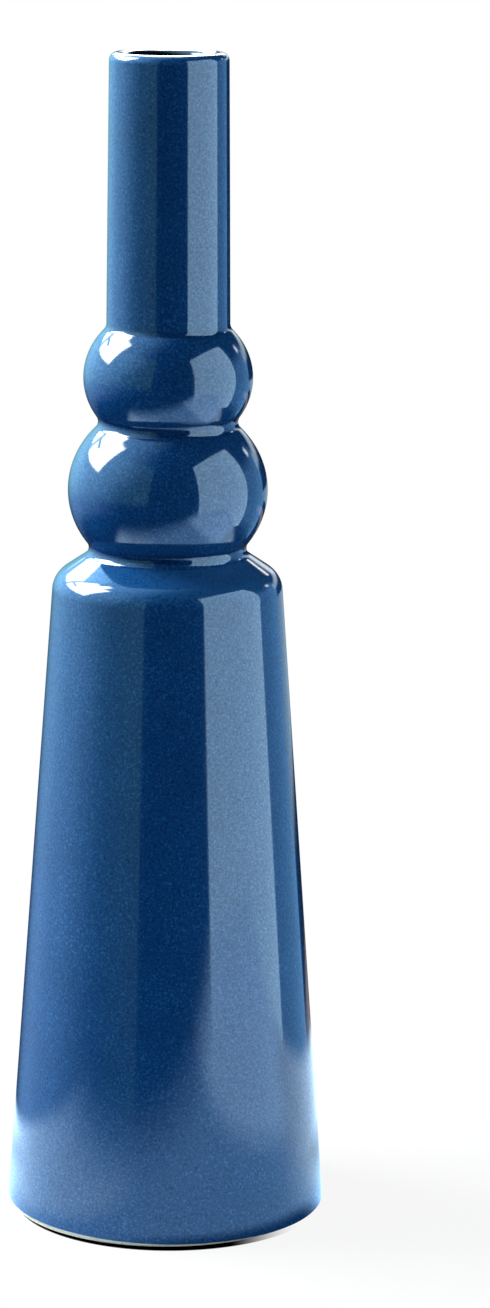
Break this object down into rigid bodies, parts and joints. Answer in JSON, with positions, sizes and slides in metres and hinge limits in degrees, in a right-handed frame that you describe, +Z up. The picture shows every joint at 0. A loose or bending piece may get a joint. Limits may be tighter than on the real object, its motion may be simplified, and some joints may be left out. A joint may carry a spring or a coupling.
{
  "type": "ceramic bud vase",
  "caption": "Tall blue glazed bud vase: a slim open neck above stacked round bulbs, a rounded shoulder and a tapered body on a bare clay foot, for holding single stems.",
  "frame": {"origin": "centre of the foot ring's underside, on the surface that the vase stands on", "axes": "+Z up along the vase's turning axis, from foot to mouth; -Y faces the picture's camera"},
  "size_m": [0.0798, 0.0798, 0.2896],
  "materials": {
    "clay": "bare fired clay, matt and fine grained",
    "slip": "fired joining slip, matt",
    "outer_glaze": "glossy deep blue glaze",
    "inner_glaze": "glossy dark blue liner glaze"
  },
  "bodies": {
    "root": {"foot": "clay", "tapered_body": "clay", "lower_bulb": "clay", "upper_bulb": "clay", "neck": "clay", "foot_slip_ring": "slip", "collar_slip_ring": "slip", "waist_slip_ring": "slip", "neck_slip_ring": "slip", "outer_glaze": "outer_glaze", "inner_glaze": "inner_glaze"}
  },
  "joints": []
}
